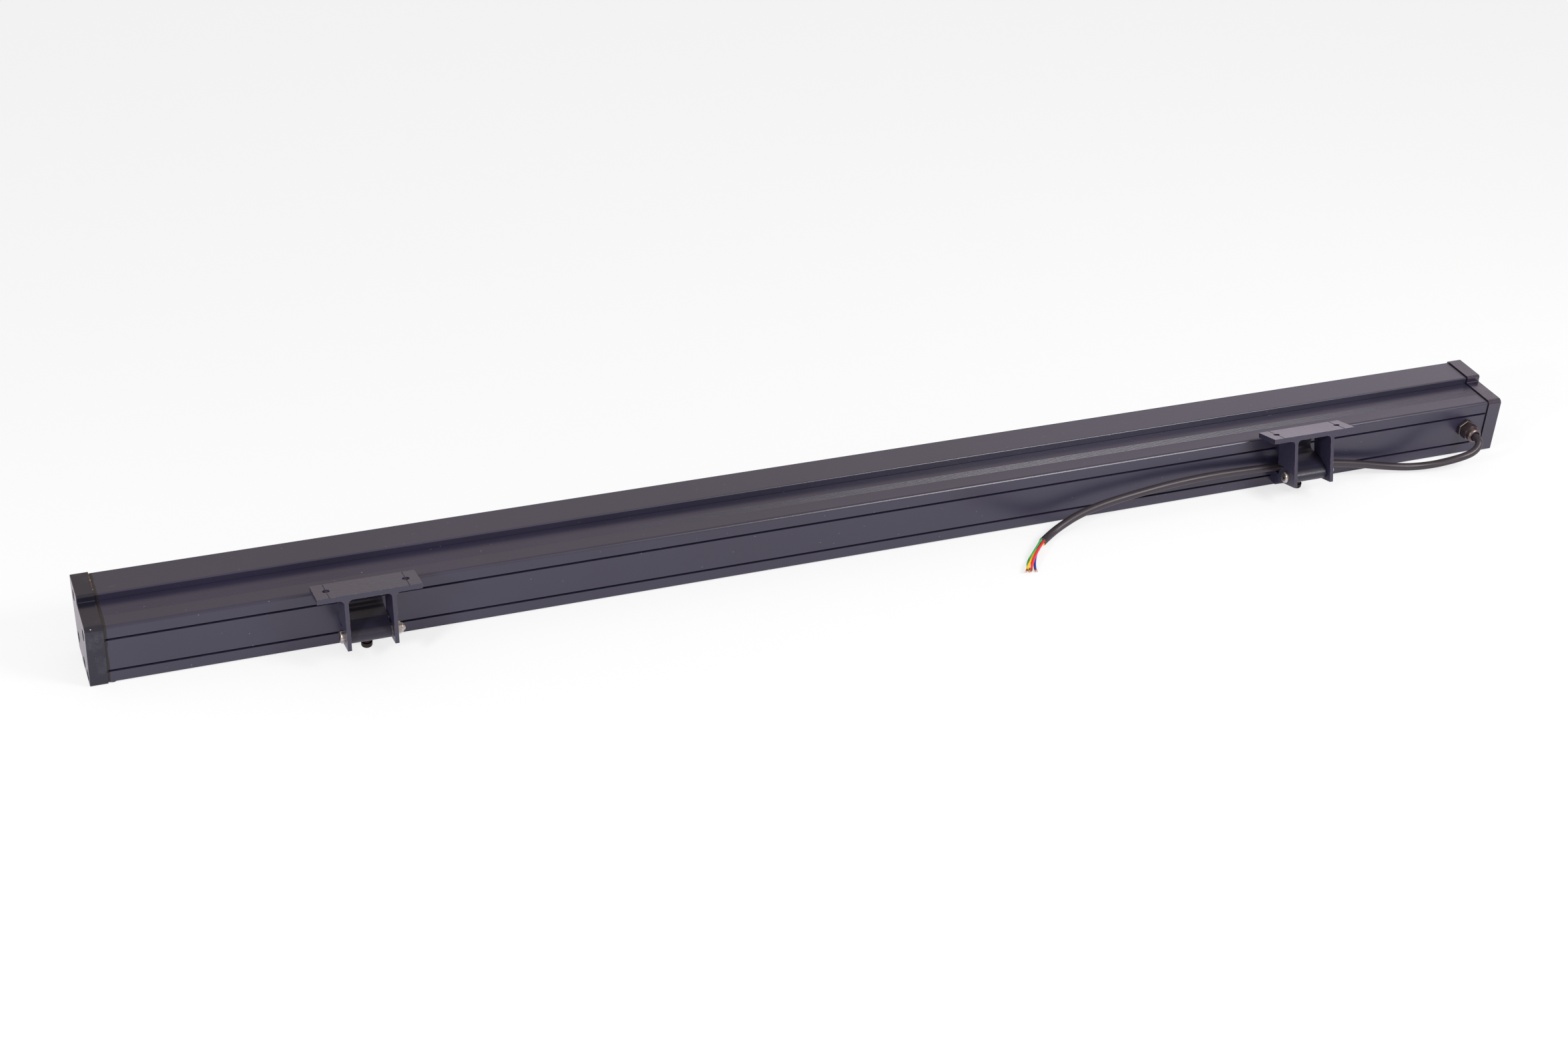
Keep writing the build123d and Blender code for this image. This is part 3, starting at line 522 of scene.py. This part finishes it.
def studio_floor():
    """White paper that keeps the object's shadow, and shows a little pink in gloss."""
    glow_for_camera = 0.7
    glow_in_gloss = 0.5
    finish, tree, shader = new_material("white paper")
    shader.inputs["Base Color"].default_value = rgba(0.93, 0.93, 0.93)
    shader.inputs["Roughness"].default_value = 0.9
    ray = add(tree, "ShaderNodeLightPath").outputs
    tint = mix_colour(tree, ray["Is Glossy Ray"], WHITE, rgba(0.92, 0.83, 0.95))
    glow = add(tree, "ShaderNodeEmission", {"Color": tint, "Strength": 1.0})
    amount = math_node(tree, "MAXIMUM", math_node(tree, "MULTIPLY", ray["Is Camera Ray"], glow_for_camera),
                       math_node(tree, "MULTIPLY", ray["Is Glossy Ray"], glow_in_gloss))
    blend = add(tree, "ShaderNodeMixShader", {0: amount, 1: shader.outputs[0], 2: glow.outputs[0]})
    tree.links.new(blend.outputs[0], tree.nodes["Material Output"].inputs["Surface"])
    bpy.ops.object.select_all(action="DESELECT")
    bpy.ops.mesh.primitive_plane_add(size=14.0, location=(0, 0, 0))
    floor = bpy.context.object
    floor.name = "floor"
    floor.data.materials.append(finish)


studio_world()
studio_lamp("left lamp", (-1.11, -0.58, 0.61), (-0.3, 0, 0), 0.2, 7.0)
studio_lamp("right lamp", (0.70, -0.75, 0.85), (0.15, 0, 0), 0.5, 10.0)
studio_floor()
scene.view_settings.view_transform = "Standard"


# ---------------------------------------------------------------------------------------------------
# The cord's cut end: conductors, their bare strands, and the jacket's rim.
# ---------------------------------------------------------------------------------------------------
CUT_END = Vector(CORD[-1])
CUT_WAY = (CUT_END - Vector(CORD[-2])).normalized()
CUT_SIDE = CUT_WAY.cross(Vector((0, 0, 1))).normalized()
CUT_RISE = CUT_SIDE.cross(CUT_WAY)
CORE_OFF = 0.95
CORE_RADIUS = 0.9


def in_jacket(aside, rise, out=0.0):
    """A point at the jacket's cut end, given from the middle of the hollow."""
    return tuple(CUT_END + CUT_SIDE * aside * CORE_OFF + CUT_RISE * rise * CORE_OFF + CUT_WAY * out)


WIRES = {
    "green": [in_jacket(1, 1), in_jacket(1, 1, 2.6), (115.6, -27.5, 3.4), (110.9, -32.0, 3.0),
              (105.9, -37.0, 2.6), (102.8, -38.9, 0.5), (99.6, -43.2, 0.3), (98.0, -47.1, 0.3),
              (97.5, -49.6, 0.2)],
    "yellow": [in_jacket(-1, -1), in_jacket(-1, -1, 2.0), (117.2, -27.5, 1.9), (111.7, -32.2, 2.8),
               (107.0, -37.0, 2.5), (102.8, -41.9, 2.2), (98.0, -47.4, 2.5), (95.3, -50.8, 1.9)],
    "red": [in_jacket(-1, 1), in_jacket(-1, 1, 2.6), (116.7, -29.1, 4.2), (111.5, -34.5, 4.1),
            (107.3, -38.9, 3.7), (103.2, -43.8, 3.2), (100.0, -48.2, 2.6), (98.1, -51.3, 1.9)],
    "blue": [in_jacket(1, -1), in_jacket(1, -1, 2.0), (115.6, -27.6, 0.3), (111.2, -33.0, 0.1),
             (108.3, -37.3, 0.1), (105.0, -43.0, 0.1), (103.2, -46.7, 0.2), (101.8, -50.1, 0.3)],
}


def conductor(colour):
    curve = round_curve("conductor_" + colour, CORE_RADIUS * mm, 6, insulation[colour])
    smooth_line(curve, WIRES[colour], 8)
    piece = link("conductor_" + colour, curve)
    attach(piece, "light")
    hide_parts("wire_" + colour)
    return piece


def copper_strands(colour, draw):
    """A conductor's bare strands, cut and splayed, as one piece."""
    strands_in_core = 13
    strand_radius = 0.12
    spiral_turn = 2.4
    lowest = 0.25 - FLOOR_Z
    tip, before = (Vector(p) for p in (WIRES[colour][-1], WIRES[colour][-2]))
    out = (tip - before).normalized()
    side = out.cross(Vector((0, 0, 1))).normalized()
    rise = side.cross(out)
    curve = round_curve("strands_" + colour, strand_radius * mm, 1, copper)
    for number in range(strands_in_core):
        angle = number * spiral_turn
        reach = 0.13 * number ** 0.5
        splay = draw.uniform(0.3, 1.5)
        run = draw.uniform(1.5, 3.0)
        away = side * math.cos(angle) + rise * math.sin(angle)
        points = [tip + away * reach - out * 1.0, tip + away * reach * 1.1 + out * 0.3,
                  tip + away * (reach + splay * 0.35) + out * run * 0.55,
                  tip + away * (reach * 0.6 + splay) + out * run]
        for point in points:
            point.z = max(point.z, lowest)
        smooth_line(curve, points, 4)
    piece = link("strands_" + colour, curve)
    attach(piece, "light")
    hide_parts("wire_tip_" + colour)
    return piece


def start_piece(name, primitive, **settings):
    """A new primitive, alone in the selection."""
    bpy.ops.object.select_all(action="DESELECT")
    primitive(**settings)
    piece = bpy.context.object
    piece.name = name
    return piece


def face_outwards():
    bpy.ops.object.mode_set(mode="EDIT")
    bpy.ops.mesh.select_all(action="SELECT")
    bpy.ops.mesh.normals_make_consistent(inside=False)
    bpy.ops.object.mode_set(mode="OBJECT")


def finish_modifier(piece, kind, **settings):
    modifier = piece.modifiers.new(kind.title(), kind)
    for name, value in settings.items():
        setattr(modifier, name, value)
    bpy.ops.object.modifier_apply(modifier=modifier.name)


def settle(piece, place, towards):
    """Turns a new piece's +Z towards a direction, puts it in place, and leaves both in its mesh."""
    turn = Vector(towards).to_track_quat("Z", "Y").to_matrix().to_4x4()
    piece.matrix_world = Matrix.Translation(space(*place)) @ turn
    bpy.ops.object.transform_apply(location=True, rotation=True, scale=True)


def jacket_rim(draw):
    """The jacket's cut end: a short collar with a pale, uneven cut face round the hollow."""
    slant = 0.08
    piece = start_piece("jacket_rim", bpy.ops.mesh.primitive_cylinder_add, vertices=40,
                        radius=CORD_D / 2 * mm, depth=1.4 * mm, end_fill_type="NOTHING")
    for vertex in piece.data.vertices:
        vertex.co.z += 0.2 * mm
        if vertex.co.z > 0.5 * mm:
            vertex.co.z += draw.uniform(-0.10, 0.10) * mm + slant * vertex.co.x
    finish_modifier(piece, "SOLIDIFY", thickness=0.55 * mm, offset=-1.0)
    finish_modifier(piece, "BEVEL", width=0.08 * mm, segments=2, limit_method="ANGLE")
    piece.data.materials.append(jacket)
    piece.data.materials.append(cut_plastic)
    for face in piece.data.polygons:
        face.use_smooth = abs(face.normal.z) < 0.5
        if face.normal.z > 0.5:
            face.material_index = 1
    settle(piece, CUT_END, CUT_WAY)
    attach(piece, "light")
    return piece


draw = random.Random(11)
conductors = [conductor(colour) for colour in WIRES]
strands = [copper_strands(colour, draw) for colour in WIRES]
rim = jacket_rim(draw)


# ---------------------------------------------------------------------------------------------------
# Sealant smeared along the joint of the left cap.
# ---------------------------------------------------------------------------------------------------
CAP_INNER_X = -489.3
FILM = 0.12


def sealant_strip(name, route, width):
    """A film that follows the section's outline: one edge on the cap, the other uneven."""
    piece = start_piece(name, bpy.ops.mesh.primitive_plane_add, size=2 * mm)
    mesh = piece.data
    edges_x = (CAP_INNER_X, CAP_INNER_X + width)
    corners = [(x, y, z) for y, z in route[:2] for x in edges_x]
    for vertex, place in zip(mesh.vertices, corners):
        vertex.co = space(*place)
        vertex.select = vertex.index > 1
    for edge in mesh.edges:
        edge.select = all(v > 1 for v in edge.vertices)
    for face in mesh.polygons:
        face.select = False
    bpy.ops.object.mode_set(mode="EDIT")
    bpy.ops.mesh.select_mode(type="EDGE")
    for (y0, z0), (y1, z1) in zip(route[1:], route[2:]):
        step = (0, (y1 - y0) * mm, (z1 - z0) * mm)
        bpy.ops.mesh.extrude_region_move(TRANSFORM_OT_translate={"value": step})
    bpy.ops.object.mode_set(mode="OBJECT")
    face_outwards()
    for vertex in mesh.vertices:
        if vertex.co.x > (CAP_INNER_X + width / 2) * mm:
            vertex.co.x += draw.uniform(-0.3, 0.3) * mm
    finish_modifier(piece, "SOLIDIFY", thickness=FILM * mm, offset=0.0)
    face_outwards()
    finish_modifier(piece, "BEVEL", width=0.05 * mm, segments=1)
    mesh.materials.append(sealant)
    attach(piece, "light")


def run(start, stop, count):
    """Evenly spaced points along a straight stretch of the section's outline."""
    return [tuple(a + (b - a) * i / count for a, b in zip(start, stop)) for i in range(count + 1)]


def corner(centre, radius, count):
    """The points between the ends of a rounded corner, from facing the camera to facing up."""
    angles = [i * math.pi / 2 / count for i in range(1, count)]
    return [(centre[0] - radius * math.cos(a), centre[1] + radius * math.sin(a)) for a in angles]


LEDGE_AND_TOP = (run((0, 31.1), (0, 37.3), 3) + corner((2.0, 37.3), 2.0, 4)
                 + run((2.0, 39.3), (28.5, 39.3), 10) + run((28.6, 39.6), (28.6, 43.2), 2)
                 + corner((29.5, 43.2), 0.9, 3) + run((29.5, 44.1), (52.0, 44.1), 8))
sealant_strip("sealant_low", run((0, 0.4), (0, 7.0), 3), 1.6)
sealant_strip("sealant_panel", run((0, 8.8), (0, 29.3), 8), 1.7)
sealant_strip("sealant_top", LEDGE_AND_TOP, 1.9)


def sealant_bead():
    """A drop of sealant squeezed out under the joint, flat and tapered."""
    piece = start_piece("sealant_bead", bpy.ops.mesh.primitive_ico_sphere_add, subdivisions=3,
                        radius=1.0 * mm)
    for vertex in piece.data.vertices:
        along = vertex.co.x / mm
        vertex.co.x *= 2.5
        vertex.co.y *= 1.1 - 0.3 * along
        vertex.co.z *= 0.40 - 0.16 * along
    for face in piece.data.polygons:
        face.use_smooth = True
    settle(piece, (-486.9, 0.9, -0.28), (0, 0, 1))
    piece.data.materials.append(sealant)
    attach(piece, "light")


sealant_bead()

# ---------------------------------------------------------------------------------------------------
# Marks that use has left: chips and scuffs in the paint.
# ---------------------------------------------------------------------------------------------------
UP, FRONT, FRONT_AND_UP = (0, 0, 1), (0, -1, 0), (0, -0.7, 0.7)
CHIP_DEPTH = 0.06


def chip(name, place, facing, length, width, finish, turn=0.0):
    """A flake knocked out of the paint, seen as its bare patch: a thin uneven wafer."""
    piece = start_piece("chip_" + name, bpy.ops.mesh.primitive_circle_add, vertices=14, radius=0.5 * mm,
                        fill_type="NGON")
    for vertex in piece.data.vertices:
        ragged = draw.uniform(0.7, 1.15)
        x, y = vertex.co.x * length * ragged, vertex.co.y * width * ragged
        vertex.co.x = x * math.cos(turn) - y * math.sin(turn)
        vertex.co.y = x * math.sin(turn) + y * math.cos(turn)
    bpy.ops.object.mode_set(mode="EDIT")
    bpy.ops.mesh.select_all(action="SELECT")
    bpy.ops.mesh.extrude_region_move(TRANSFORM_OT_translate={"value": (0, 0, CHIP_DEPTH * mm)})
    bpy.ops.object.mode_set(mode="OBJECT")
    face_outwards()
    settle(piece, place, facing)
    piece.data.materials.append(finish)
    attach(piece, "light")


chip("cap_corner", (-496.3, 0.02, 39.18), FRONT_AND_UP, 0.9, 0.7, primer)
chip("ledge_a", (460.5, 6.4, 39.28), UP, 3.4, 0.25, scuff, 0.4)
chip("ledge_b", (463.2, 5.0, 39.28), UP, 2.2, 0.3, scuff, -0.3)
chip("ledge_c", (468.6, 2.9, 39.28), UP, 1.4, 0.3, scuff, 0.2)
chip("step_a", (319.7, 28.62, 42.5), FRONT, 0.5, 0.4, primer)
chip("step_b", (321.3, 27.6, 39.28), UP, 0.6, 0.4, primer)
chip("step_c", (323.1, 27.9, 39.28), UP, 0.4, 0.3, primer)

# Along the inner rim of the left cap's top: each chip's middle, its length and what it bares.
RIM_CHIPS = [(50.3, 3.4, rust), (46.9, 4.2, rust), (43.2, 3.3, primer), (39.0, 3.9, rust),
             (35.9, 2.0, rust), (32.9, 1.7, primer)]
for number, (y, length, bared) in enumerate(RIM_CHIPS):
    chip("cap_rim_%d" % number, (-489.42, y, 44.99), UP, 0.2, length, bared)
